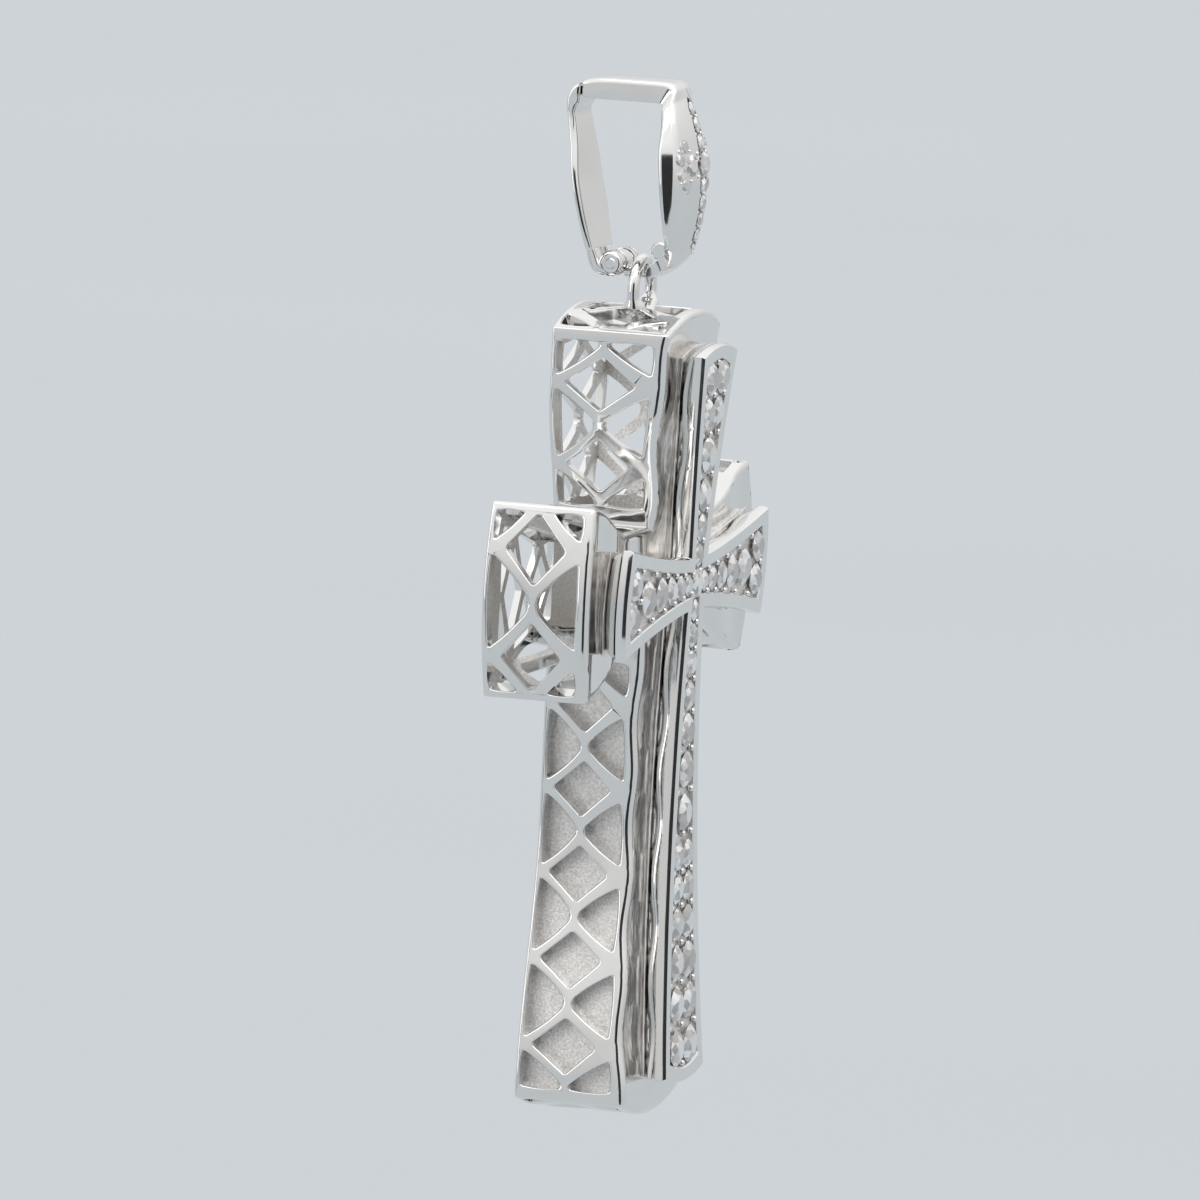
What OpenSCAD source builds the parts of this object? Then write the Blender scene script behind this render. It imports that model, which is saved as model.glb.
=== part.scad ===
// Diamond cross pendant on a hinged bail. Millimetres, +Z up, front towards -Y.
// The origin is the chain seat: the middle of the inside of the bail's top.

/* [Cross box] */
// Drop from the chain seat to the centre of the cross
drop = 27.8; // [27:0.1:30]
// Centre of the cross to the corners of the top arm's tip
box_top = 14.8; // [13:0.1:15]
// Centre of the cross to the corners of a side arm's tip
box_side = 15.2; // [14:0.1:17]
// Centre of the cross to the corners of the bottom arm's tip
box_bottom = 30.1; // [27:0.1:33]
// Width of the box arms where they meet
box_waist_w = 6.8; // [6.4:0.1:7.4]
// Width of the top arm at its tip
box_top_w = 10.6; // [9:0.1:12]
// Width of a side arm at its tip
box_side_w = 11.3; // [10:0.1:12]
// Width of the bottom arm at its tip
box_bottom_w = 11.4; // [10:0.1:12]
// How far the arched tips bulge past their corners
box_arch = 1.1; // [0.6:0.1:1.4]
// Back face of the box behind the hanging line
back_y = 3.3; // [3:0.1:4]
// Front face of the box at its hollowest point
front_y = -2.4; // [-3:0.1:-2]
// Radius of the long hollow curve of the front face
front_bow_r = 210; // [180:10:300]
// Height of the ripples on the front face
ripple = 0.1; // [0.05:0.01:0.2]
// Length of one ripple
ripple_len = 6.05; // [4:0.05:8]
// Centre of the cross to the crest of the first ripple
first_crest = 4.95; // [3:0.05:6]

/* [Openwork] */
// Thickness of the pierced walls
wall = 0.95; // [0.8:0.05:1.2]
// Depth of the blind pockets in the bottom arm
pocket = 1; // [0.8:0.1:2.2]
// Width of a rib
rib = 0.52; // [0.45:0.01:0.7]
// Depth of the blind recesses in the back of the bottom arm
recess = 0.25; // [0.2:0.01:0.3]
// Width of the frame along the back edges, and thickness of the back
back_frame = 0.5; // [0.4:0.05:0.8]
// Width of the frame along the front edges
front_frame = 0.8; // [0.6:0.05:1.2]
// Width of the frame across the arms' tips
tip_frame = 0.75; // [0.6:0.05:1]
// Width of the frame at the ends of the openwork in the tips
end_frame = 0.45; // [0.4:0.05:0.8]

/* [Diamond cross] */
// Reach of its top arm from the centre
gem_top = 13.5; // [12:0.1:14]
// Reach of a side arm
gem_side = 13.45; // [12:0.05:14]
// Reach of its bottom arm
gem_bottom = 28.7; // [26:0.1:29]
// Width of its arms where they meet
gem_waist_w = 3.1; // [2.8:0.1:3.6]
// Width across the tip of the top arm
gem_top_w = 6.6; // [6:0.1:7.4]
// Width across the tip of a side arm
gem_side_w = 6.4; // [6:0.1:7.4]
// Width across the tip of the bottom arm
gem_bottom_w = 7.5; // [6.6:0.1:8]
// How far its tips bulge past their corners
gem_arch = 0.5; // [0.3:0.1:0.7]
// Front face of the cross at its hollowest point
gem_y = -4.52; // [-4.8:0.02:-4.4]
// Thickness of the rimmed plate
plate_t = 0.55; // [0.45:0.05:0.7]
// Thickness of the wavy edge under the plate
wave_t = 0.7; // [0.5:0.05:0.8]
// Swing of the wavy edge
wave = 0.11; // [0.05:0.01:0.2]
// Width of the polished rim round the stones
rim_w = 0.85; // [0.7:0.05:1]
// Depth of the stone field below the rim
field_deep = 0.38; // [0.3:0.02:0.5]

/* [Bail] */
// Height of the opening that the chain runs through
opening_h = 8.9; // [8:0.1:10]
// Thickness of the bail's top strap
strap_t = 1.25; // [1:0.05:1.4]
// Width of the front leaf at its middle
leaf_w = 6.2; // [5.8:0.1:7]
// Width of the front leaf at its ends
leaf_end_w = 3; // [2.6:0.1:3.4]
// Width of the back leaf at its widest
back_leaf_w = 5.2; // [4.6:0.1:5.6]
// Thickness of the back leaf
back_leaf_t = 0.58; // [0.5:0.02:0.8]
// Width of the row of stones down the front leaf
row_w = 1.25; // [1.1:0.05:1.5]

/* [Hinge and ring] */
// Radius of the hinge knuckles
knuckle_r = 0.7; // [0.65:0.01:0.75]
// Width of the whole hinge
hinge_w = 3.5; // [3.2:0.1:3.8]
// Width of its middle knuckle
middle_w = 1.2; // [1:0.1:1.4]
// Radius of the hinge pin
pin_r = 0.28; // [0.25:0.01:0.3]
// Running clearance round the pin
play = 0.03; // [0.02:0.01:0.05]
// Radius of the bar that the hang ring rides on
bar_r = 0.35; // [0.3:0.01:0.38]
// Wire thickness of the hang ring
wire = 0.7; // [0.6:0.05:0.8]
// Radius of the hang ring to the middle of its wire
ring_r = 1.72; // [1.65:0.01:1.8]

/* [Hidden] */

gap = 0.03;         // between pieces that are fitted together
far = 40;           // longer than anything that is cut
edge_steps = 8;     // straight steps along a flared edge
tip_steps = 8;      // straight steps round an arched tip
ripple_steps = 8;   // straight steps in one ripple

// Columns of an arm's row: reach, half width at the centre, half width at the tip,
// where the flare starts and ends, and which power of the way it follows (0 is an S curve)
REACH = 0;
ROOT = 1;
TIP = 2;
FROM = 3;
TO = 4;
POWER = 5;
ARCH = 6;

box_root = box_waist_w/2;
box_arm_top = [box_top, box_root, box_top_w/2, 3, 11, 0, box_arch];
box_arm_side = [box_side, box_root, box_side_w/2, 7.5, 15, 0, box_arch];
box_arm_bottom = [box_bottom, box_root, box_bottom_w/2, 14, 29.5, 0, box_arch];
box_arms = [box_arm_top, box_arm_side, box_arm_bottom, box_arm_side];

gem_root = gem_waist_w/2;
gem_arms = [[gem_top, gem_root, gem_top_w/2, 0, gem_top, 1.25, gem_arch],
            [gem_side, gem_root, gem_side_w/2, 0, gem_side, 1.5, gem_arch],
            [gem_bottom, gem_root, gem_bottom_w/2, 0, gem_bottom, 1.15, gem_arch],
            [gem_side, gem_root, gem_side_w/2, 0, gem_side, 1.5, gem_arch]];

bow_z = -9.9;                                      // lowest point of the box's hollow front
side_bow_r = 330;                                  // the same curve along the side arms
front_centre_y = front_y - bow_z*bow_z/(2*front_bow_r);
gem_bow_r = 270;
gem_bow_z = -8.5;

ring_y = -0.4;                                     // the hang ring stands a little forward
bar_z = -9.94;
ring_gap = 0.02;
ring_z = bar_z + bar_r + ring_gap - (ring_r - wire/2);
core_inset = 0.15;                                 // the seat under the diamond cross steps in

hinge_y = 1.07;
hinge_z = -9.45;
roll_r = 0.5;                                      // catch roll at the foot of the front leaf
roll_y = -1.66;
roll_z = -8.55;
leaf_z = -4.6;                                     // middle height of the front leaf
leaf_crest_r = 12;                                 // its side view is an arc of this radius
leaf_axis_y = 8.1;
leaf_axis_z = -4.9;
leaf_slope = 0.36;                                 // its cross-section is a low roof
leaf_ridge = 0.8;                                  // with a rounded ridge
star_z = -3.7;                                     // middle of the cluster on the front leaf
parting_y = 3.35;                                  // where the strap meets the back leaf

function ease(t) = let (c = min(max(t, 0), 1)) c*c*(3 - 2*c);
function share(t, power) = power == 0 ? ease(t) : pow(min(max(t, 0), 1), power);
function half_width(arm, d) =
    arm[ROOT] + (arm[TIP] - arm[ROOT])*share((d - arm[FROM])/(arm[TO] - arm[FROM]), arm[POWER]);

// Outline of one arm, [across, along], with its edge moved in by inset
function arm_outline(arm, inset = 0) =
    let (
        reach = arm[REACH] - inset,
        flare = [for (k = [0:edge_steps]) arm[FROM] + (arm[TO] - arm[FROM])*k/edge_steps],
        ways = concat(arm[FROM] > 0 ? [0] : [], [for (d = flare) if (d < reach - 0.1) d], [reach]),
        tip = half_width(arm, reach) - inset,
        right = [for (d = ways) [half_width(arm, d) - inset, d]],
        arch = [for (k = [1:tip_steps - 1]) let (s = 1 - 2*k/tip_steps)
                [tip*s, reach + arm[ARCH]*(1 - s*s)]],
        count = len(right)
    )
    concat(right, arch, [for (k = [1:count]) [-right[count - k][0], right[count - k][1]]]);

// Cross of four arms, clockwise from the top, in the [x, z] plane
module cross_outline(arms, inset = 0, which = [0, 1, 2, 3]) {
    for (k = which) rotate(-90*k) polygon(arm_outline(arms[k], inset));
}

module along_x(x0, x1) { translate([x0, 0, 0]) rotate([90, 0, 90]) linear_extrude(x1 - x0) children(); }
module along_y(y0, y1) { translate([0, y1, 0]) rotate([90, 0, 0]) linear_extrude(y1 - y0) children(); }
module along_z(z0, z1) { translate([0, 0, z0]) linear_extrude(z1 - z0) children(); }

function bowed(v, y, middle, r) = y - (v - middle)*(v - middle)/(2*r);
function box_front(z) = bowed(z, front_y, bow_z, front_bow_r);
function side_front(x) = bowed(x, front_centre_y, 0, side_bow_r);
function gem_front(z) = bowed(z, gem_y, gem_bow_z, gem_bow_r);

// Every place along v0 to v1 at an even step
function places(v0, v1, step) = let (n = ceil((v1 - v0)/step)) [for (k = [0:n]) v0 + (v1 - v0)*k/n];

// Height of the ripples at v from the centre: -1 on a crest, 1 in a hollow
function swell_at(v) = -cos(360*(abs(v) - first_crest)/ripple_len);

// Side view of the upright arms, [y, z], from the front face back to y1
module upright_view(y1, inset = 0, swell = 0) {
    zs = places(-box_bottom - 2, box_top + 2, swell > 0 ? ripple_len/ripple_steps : 3);
    polygon(concat([for (z = zs) [box_front(z) + inset + swell*swell_at(z), z]],
                   [[y1, box_top + 2], [y1, -box_bottom - 2]]));
}

// Top view of the side arms, [x, y]
module level_view(y1, inset = 0, swell = 0) {
    xs = places(-box_side - 2, box_side + 2, swell > 0 ? ripple_len/ripple_steps : 3);
    polygon(concat([for (x = xs) [x, side_front(x) + inset + swell*swell_at(x)]],
                   [[box_side + 2, y1], [-box_side - 2, y1]]));
}

// The bars of the box in depth: one upright, one level
module in_depth(y1, inset = 0, swell = 0) {
    reach = 6.3; // clears the widest tip
    along_x(-reach, reach) upright_view(y1, inset, swell);
    along_z(-reach, reach) level_view(y1, inset, swell);
}

// A window with its corners trimmed off
function trimmed(p, c) = [for (i = [0:len(p) - 1], s = [-1, 1])
    let (q = p[(i + s + len(p)) % len(p)]) p[i] + (q - p[i])*min(c/norm(q - p[i]), 0.45)];

// Windows of a panel, [across, along], in which two ribs weave from lo to hi and meet n times.
// Each crossing leaves a diamond between the ribs and a D on either side of a knot.
function panel(v0, v1, n, lo, hi) =
    let (
        p = (v1 - v0)/n,
        knot = 0.215*p,         // knot to the tip of the diamond
        reach = 0.7,            // share of the half width that a diamond takes
        mid = function(v) (lo(v) + hi(v))/2,
        half = function(v) (hi(v) - lo(v))/2,
        diamonds = [for (k = [0:n - 1]) let (c = v0 + (k + 0.5)*p)
            trimmed([[mid(c), c - p/2 + knot], [mid(c) + reach*half(c), c],
                     [mid(c), c + p/2 - knot], [mid(c) - reach*half(c), c]], 0.16)],
        dees = [for (k = [0:n], s = [-1, 1]) let (
                v = v0 + k*p,
                h = half(v),
                run = [reach*h, p/2 - knot],
                slope = run[1]/run[0],
                rise = knot - rib*norm(run)/run[0],
                stem = max(rise + slope*rib/2, 0.12),
                top = min(rise + slope*h, p/2 - 0.36),
                low = k == 0 ? 0 : -1,
                high = k == n ? 0 : 1)
            trimmed([[mid(v) + s*rib/2, v + low*stem],
                     [mid(v + low*top) + s*half(v + low*top), v + low*top],
                     [mid(v + high*top) + s*half(v + high*top), v + high*top],
                     [mid(v) + s*rib/2, v + high*stem]], 0.3)]
    )
    concat(diamonds, dees);

module windows(points) { for (p = points) polygon(p); }

// The same windows with across and along changed over
module turned_windows(points) { for (p = points) polygon([for (q = p) [q[1], q[0]]]); }

side_back = function(v) back_y - back_frame;
top_start = 4.8;        // the openwork keeps clear of the crossing
side_start = 4.4;
bottom_start = 4.8;

// Windows through the walls that face sideways
module side_windows() {
    front = function(z) box_front(z) + front_frame;
    along_x(-6.3, 6.3) windows(panel(top_start, box_top - tip_frame, 2, front, side_back));
    difference() {
        along_x(-6.3, 6.3)
            windows(panel(tip_frame - box_bottom, -bottom_start, 5, front, side_back));
        along_y(-far, far) cross_outline(box_arms, pocket, [2]);
    }
}

// Windows through the walls of the side arms that face up and down
module level_windows() {
    front = function(x) side_front(x) + front_frame;
    for (s = [0, 1]) mirror([s, 0, 0]) along_z(-6.3, 6.3)
        turned_windows(panel(side_start, box_side - tip_frame, 2, front, side_back));
}

// Windows of a tip of width w, [across, along]. The openwork runs on under the tip's end frames.
module tip_panel(w, front) {
    intersection() {
        windows(panel(-0.55*w, 0.55*w, 2, front, side_back));
        translate([-far/2, end_frame - w/2]) square([far, w - 2*end_frame]);
    }
}

// Windows through the tips of the four arms; the hang ring keeps a pad to stand on
module tip_windows() {
    side_face = function(z) side_front(box_side) + front_frame;
    top_face = function(x) box_front(box_top) + front_frame;
    bottom_face = function(x) box_front(-box_bottom) + front_frame;
    for (s = [0, 1]) mirror([s, 0, 0]) along_x(box_side - 1.4, box_side + 3)
        tip_panel(box_side_w, side_face);
    difference() {
        along_z(box_top - 1.4, box_top + 3) mirror([1, -1]) tip_panel(box_top_w, top_face);
        translate([-ring_r - 0.8, ring_y - 0.6, box_top - 2]) cube([2*ring_r + 1.6, 1.2, 6]);
    }
    along_z(-box_bottom - 3, -box_bottom + 0.8) mirror([1, -1]) tip_panel(box_bottom_w, bottom_face);
}

// Windows through the back; those in the bottom arm are shallow recesses
module back_windows() {
    top_lo = function(z) wall - half_width(box_arm_top, z);
    top_hi = function(z) half_width(box_arm_top, z) - wall;
    side_lo = function(x) wall - half_width(box_arm_side, x);
    side_hi = function(x) half_width(box_arm_side, x) - wall;
    low_lo = function(z) wall - half_width(box_arm_bottom, -z);
    low_hi = function(z) half_width(box_arm_bottom, -z) - wall;
    along_y(back_y - 1.3, back_y + 1) {
        windows(panel(top_start, box_top - wall, 2, top_lo, top_hi));
        for (s = [0, 1]) mirror([s, 0])
            turned_windows(panel(side_start, box_side - wall, 2, side_lo, side_hi));
    }
    along_y(back_y - recess, back_y + 1)
        windows(panel(wall - box_bottom, -bottom_start, 5, low_lo, low_hi));
}

// Openwork cross box, the seat for the diamond cross and the soldered hang ring
module gallery_box() {
    color("gainsboro") translate([0, 0, -drop]) {
        difference() {
            union() {
                intersection() {
                    along_y(-far, back_y) cross_outline(box_arms);
                    in_depth(back_y, 0, ripple);
                }
                intersection() {
                    along_y(-far, -1.2) cross_outline(gem_arms, core_inset);
                    along_x(-far, far) gem_side_view(plate_t + wave_t + gap, far);
                }
            }
            intersection() {
                along_y(-far, back_y - back_frame) cross_outline(box_arms, wall, [0, 1, 3]);
                in_depth(back_y - back_frame, front_frame);
            }
            side_windows();
            level_windows();
            tip_windows();
            back_windows();
        }
    }
    color("gainsboro") translate([0, ring_y, ring_z]) rotate([90, 0, 0])
        rotate_extrude($fn = 64) translate([ring_r, 0]) circle(wire/2, $fn = 24);
}

// Side view of the diamond cross, [y, z], from depth y0 to y1 behind its front face
module gem_side_view(y0, y1) {
    zs = places(-gem_bottom - 1, gem_top + 1, 2.5);
    n = len(zs);
    polygon(concat([for (z = zs) [gem_front(z) + y0, z]],
                   [for (k = [1:n]) [min(gem_front(zs[n - k]) + y1, far), zs[n - k]]]));
}

// Arm of the layer under the plate: its long edges wave in and out
function wavy_arm(arm) =
    let (ds = places(0, arm[REACH] - 0.2, ripple_len/6),
         n = len(ds),
         edge = [for (d = ds) [half_width(arm, d) - 0.14 - wave*(1 + swell_at(d)), d]])
    concat(edge, [[0, arm[REACH] + arm[ARCH] - 0.25]], [for (k = [1:n]) [-edge[n - k][0], edge[n - k][1]]]);

// Rimmed cross plate on its wavy edge, with the sunk field for the stones
module diamond_cross() {
    color("whitesmoke") translate([0, 0, -drop]) {
        intersection() {
            difference() {
                along_y(-far, 0) cross_outline(gem_arms);
                intersection() {
                    along_y(-far, 0) cross_outline(gem_arms, rim_w);
                    along_x(-far, far) gem_side_view(-2, field_deep);
                }
            }
            along_x(-far, far) gem_side_view(0, plate_t);
        }
        intersection() {
            along_y(-far, 0) for (k = [0:3]) rotate(-90*k) polygon(wavy_arm(gem_arms[k]));
            along_x(-far, far) gem_side_view(plate_t - 0.05, plate_t + wave_t);
        }
    }
}

// Field of stones in the diamond cross, as one piece
module cross_pave() {
    color("aliceblue") translate([0, 0, -drop]) intersection() {
        along_y(-far, 0) cross_outline(gem_arms, rim_w + gap);
        along_x(-far, far) gem_side_view(0.06, field_deep - gap);
    }
}

// Front view of the front leaf, [x, z]
module leaf_outline() {
    zs = places(-9.9, 1.25, 0.6);
    n = len(zs);
    half = function(z) leaf_end_w/2 + (leaf_w - leaf_end_w)/2*pow(cos(min(90*abs(z - leaf_z)/5.9, 90)), 0.9);
    polygon(concat([for (z = zs) [half(z), z]], [for (k = [1:n]) [-half(zs[n - k]), zs[n - k]]]));
}

// Domed shell of the front leaf between two depths below its crest
module domed(from, to) {
    xs = places(-3.7, 3.7, 0.62);
    n = len(xs);
    crest = function(x) leaf_crest_r - leaf_slope*(sqrt(x*x + leaf_ridge*leaf_ridge) - leaf_ridge);
    translate([0, leaf_axis_y, leaf_axis_z]) rotate([0, 90, 0]) rotate_extrude($fn = 120)
        polygon(concat([for (x = xs) [crest(x) - from, x]],
                       [for (k = [1:n]) [crest(xs[n - k]) - to, xs[n - k]]]));
}

// Outline of the stones on the front leaf: a pointed row and a short cross bar
module row_outline(inset) {
    w = row_w/2 - inset;
    bar_half = 0.78 - inset;
    bar_end = 1.5 - inset;
    bar_reach = 2.85 - inset;
    polygon([[0, 0.75 - 2*inset], [w*0.8, -0.3], [w, -1.4], [w, star_z + bar_half],
             [bar_reach, star_z + bar_end], [bar_reach, star_z - bar_end], [w, star_z - bar_half],
             [w, -7], [w*0.8, -8.1], [0, -9 + 2*inset], [-w*0.8, -8.1], [-w, -7],
             [-w, star_z - bar_half], [-bar_reach, star_z - bar_end],
             [-bar_reach, star_z + bar_end], [-w, star_z + bar_half], [-w, -1.4], [-w*0.8, -0.3]]);
}

// Front leaf, top strap, foot, bar and middle knuckle of the bail
module bail_front() {
    sill = -opening_h + 0.35;   // lowest point of the leaf's flat inner face
    color("silver") difference() {
        union() {
            difference() {
                intersection() {
                    domed(0, 3.6);
                    along_y(-5, -1) leaf_outline();
                }
                along_x(-far, far)
                    polygon([[0, 0], [-0.7, 0], [-1.2, -0.2], [-1.55, -0.7], [-1.73, -1.5], [-2, -4.2],
                             [-2.22, -6.6], [-2.25, -7], [-2.25, sill], [0, sill]]);
            }
            along_x(-leaf_end_w/2 - 0.1, leaf_end_w/2 + 0.1)
                polygon([[-2.3, 0.6], [-2.2, 0.9], [-1.8, strap_t - 0.1], [-1, strap_t], [2, strap_t],
                         [2.8, strap_t - 0.08], [parting_y, strap_t - 0.3], [parting_y, 0.1],
                         [2.9, 0], [-0.7, 0], [-1.2, -0.2], [-1.6, -0.3]]);
            along_x(-1.3, 1.3)
                polygon([[-2.9, -8.9], [-2.75, -9.25], [-2.45, -9.6], [-2.05, -9.87], [-1.4, -10.05],
                         [-1, bar_z - bar_r + 0.1], [-1, bar_z + bar_r - 0.1], [-1.35, -9.3],
                         [-1.75, -8.85], [-2.15, -8.6], [-2.5, -8.5]]);
            translate([0, -1.2, bar_z]) rotate([-90, 0, 0]) cylinder(r = bar_r, h = 1.85, $fn = 32);
            translate([-middle_w/2, hinge_y, hinge_z]) rotate([0, 90, 0])
                cylinder(r = knuckle_r, h = middle_w, $fn = 48);
            translate([-1.4, roll_y, roll_z]) rotate([0, 90, 0]) cylinder(r = roll_r, h = 2.8, $fn = 40);
        }
        intersection() {
            domed(-1, 0.34);
            along_y(-5, -1) row_outline(0);
        }
        translate([-far/2, hinge_y, hinge_z]) rotate([0, 90, 0])
            cylinder(r = pin_r + play, h = far, $fn = 36);
    }
}

// Stones of the front leaf, as one piece
module bail_pave() {
    color("aliceblue") intersection() {
        domed(0.06, 0.34 - gap);
        along_y(-5, -1) row_outline(gap);
    }
}

// Front view of the back leaf, [x, z]
module back_leaf_outline() {
    zs = places(-10.2, 0.8, 0.6);
    n = len(zs);
    half = function(z) 1.7 + (back_leaf_w/2 - 1.7)*pow(cos(min(90*abs(z + 5.6)/4.6, 90)), 1.3);
    polygon(concat([for (z = zs) [half(z), z]], [for (k = [1:n]) [-half(zs[n - k]), zs[n - k]]]));
}

// Back leaf, which swings open on the two outer knuckles
module bail_back() {
    t = back_leaf_t;
    in = parting_y + 0.05;
    color("silver") difference() {
        union() {
            intersection() {
                along_x(-far, far)
                    polygon([[in, 0.8], [in + 0.28, 0.78], [in + t, 0.5], [4.2, 0], [4.22, -0.6],
                             [4.06, -1.7], [3.84, -2.8], [3.6, -4.4], [3.28, -5.9], [2.95, -7.5],
                             [2.64, -8.8], [2.42, -9.5], [2.05, -9.95], [1.5, -10.13], [1.2, -9.6],
                             [2.42 - t, -9.4], [2.63 - t, -8.8], [2.94 - t, -7.5], [3.26 - t, -5.9],
                             [3.58 - t, -4.4], [3.82 - t, -2.8], [4.04 - t, -1.7], [4.18 - t, -0.7],
                             [in, -0.3]]);
                along_y(-far, far) back_leaf_outline();
            }
            translate([-hinge_w/2, hinge_y, hinge_z]) rotate([0, 90, 0])
                cylinder(r = knuckle_r, h = hinge_w, $fn = 48);
        }
        translate([-middle_w/2 - gap, -far/2, hinge_z - 2]) cube([middle_w + 2*gap, far, 2.9]);
        translate([-far/2, hinge_y, hinge_z]) rotate([0, 90, 0])
            cylinder(r = pin_r + 0.01, h = far, $fn = 36);
    }
}

// Pin of the bail's hinge
module hinge_pin() {
    color("darkgray") translate([-hinge_w/2 + 0.05, hinge_y, hinge_z]) rotate([0, 90, 0])
        cylinder(r = pin_r, h = hinge_w - 0.1, $fn = 36);
}

gallery_box();
diamond_cross();
cross_pave();
bail_front();
bail_pave();
bail_back();
hinge_pin();
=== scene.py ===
import math
import random
from collections import namedtuple

import bmesh
import bpy
from mathutils import Matrix, Vector
from mathutils.geometry import delaunay_2d_cdt


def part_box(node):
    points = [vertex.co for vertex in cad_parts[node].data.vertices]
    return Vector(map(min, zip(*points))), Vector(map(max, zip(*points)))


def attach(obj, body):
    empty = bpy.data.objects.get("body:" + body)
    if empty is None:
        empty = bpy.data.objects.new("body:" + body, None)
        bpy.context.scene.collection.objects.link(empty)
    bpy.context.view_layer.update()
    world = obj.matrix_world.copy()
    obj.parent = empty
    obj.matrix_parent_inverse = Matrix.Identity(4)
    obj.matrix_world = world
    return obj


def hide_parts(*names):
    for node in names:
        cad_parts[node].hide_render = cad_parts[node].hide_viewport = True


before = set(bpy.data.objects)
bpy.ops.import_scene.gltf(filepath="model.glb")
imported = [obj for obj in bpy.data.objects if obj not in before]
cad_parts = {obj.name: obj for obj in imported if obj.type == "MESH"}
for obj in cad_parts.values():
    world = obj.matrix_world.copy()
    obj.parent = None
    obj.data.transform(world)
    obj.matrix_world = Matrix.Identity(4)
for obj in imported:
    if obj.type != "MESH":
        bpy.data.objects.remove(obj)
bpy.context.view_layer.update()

# The camera stands 0.8 m off on the pendant's left, a little in front of it and a little above,
# behind a long lens, so that the box's side fills the view and its front is seen nearly edge-on.
mm = 0.001
view_azimuth, view_elevation, view_roll = (math.radians(a) for a in (-72.97, 6.94, 2.72))
view_target = Vector((-1.79, 0.70, -29.04))*mm
view_distance = 812*mm
camera_data = bpy.data.cameras.new("camera")
camera_data.lens = 420
camera_data.sensor_width = 36
camera_data.clip_start = 0.01
camera_data.clip_end = 20
camera = bpy.data.objects.new("camera", camera_data)
camera.matrix_world = (Matrix.Translation(view_target)
                       @ Matrix.Rotation(view_azimuth, 4, "Z")
                       @ Matrix.Rotation(math.pi/2 - view_elevation, 4, "X")
                       @ Matrix.Rotation(view_roll, 4, "Z")
                       @ Matrix.Translation((0, 0, view_distance)))
bpy.context.scene.collection.objects.link(camera)
bpy.context.scene.camera = camera
bpy.context.scene.view_settings.view_transform = "Standard"


# The pale floor lies well below the hanging pendant. It is matt paper, wide enough to fill
# the view behind the pendant by itself, and the polished metal mirrors it from below.
def new_material(name):
    material = bpy.data.materials.new(name)
    material.use_nodes = True
    return material, material.node_tree.nodes, material.node_tree.links


def noise(nodes, links, size, detail=2.0, stretch=(1, 1, 1)):
    """Noise in the object's own space, with features of the given size in metres."""
    place = nodes.new("ShaderNodeMapping")
    place.inputs["Scale"].default_value = [s/size for s in stretch]
    links.new(nodes.new("ShaderNodeTexCoord").outputs["Object"], place.inputs["Vector"])
    texture = nodes.new("ShaderNodeTexNoise")
    texture.inputs["Scale"].default_value = 1.0
    texture.inputs["Detail"].default_value = detail
    links.new(place.outputs["Vector"], texture.inputs["Vector"])
    return texture.outputs["Fac"]


def blended(nodes, links, factor, low, high):
    """A colour that goes from low to high over the middle part of the factor's range."""
    ramp = nodes.new("ShaderNodeValToRGB")
    for element, position, colour in zip(ramp.color_ramp.elements, (0.3, 0.7), (low, high)):
        element.position = position
        element.color = (*colour, 1)
    links.new(factor, ramp.inputs["Fac"])
    return ramp.outputs["Color"]


def flat_sheet(name, width, height, finish):
    """A rectangle about the origin that faces up."""
    mesh = bpy.data.meshes.new(name)
    corners = [(x*width/2, y*height/2, 0) for x, y in ((-1, -1), (1, -1), (1, 1), (-1, 1))]
    mesh.from_pydata(corners, [], [(0, 1, 2, 3)])
    mesh.materials.append(finish)
    sheet = bpy.data.objects.new(name, mesh)
    bpy.context.scene.collection.objects.link(sheet)
    return sheet


paper, nodes, links = new_material("floor_paper")
shader = nodes["Principled BSDF"]
shader.inputs["Roughness"].default_value = 0.9
shader.inputs["Specular IOR Level"].default_value = 0.1
mottling = noise(nodes, links, 400*mm)
links.new(blended(nodes, links, mottling, (0.578, 0.613, 0.64), (0.587, 0.622, 0.648)),
          shader.inputs["Base Color"])
floor_z, floor_size = -350*mm, 12
floor = flat_sheet("floor", floor_size, floor_size, paper)
floor.data.transform(Matrix.Translation((0, 0, floor_z)))

# The light is a white tent, brighter overhead than round its foot, with a soft panel above and
# one behind on the left. Dark cards that only the metal sees draw thin black lines on its edges.
def spread(nodes, links, factor, low, high, start=0.0, end=1.0):
    """A number that goes from low to high as the factor goes from start to end."""
    ranged = nodes.new("ShaderNodeMapRange")
    for label, number in (("From Min", start), ("From Max", end), ("To Min", low), ("To Max", high)):
        ranged.inputs[label].default_value = number
    links.new(factor, ranged.inputs["Value"])
    return ranged.outputs["Result"]


tent = bpy.data.worlds.new("tent")
bpy.context.scene.world = tent
tent.use_nodes = True
nodes, links = tent.node_tree.nodes, tent.node_tree.links
height = nodes.new("ShaderNodeSeparateXYZ")
links.new(nodes.new("ShaderNodeTexCoord").outputs["Generated"], height.inputs["Vector"])
tent_low, tent_high, tent_crown = 0.68, 1.1, 0.6
links.new(spread(nodes, links, height.outputs["Z"], tent_low, tent_high, end=tent_crown),
          nodes["Background"].inputs["Strength"])
nodes["Background"].inputs["Color"].default_value = (0.99, 0.995, 1.0, 1)


def aimed_at_pendant(place):
    facing = (view_target - Vector(place)).to_track_quat("-Z", "Y")
    return Matrix.Translation(place) @ facing.to_matrix().to_4x4()


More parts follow.
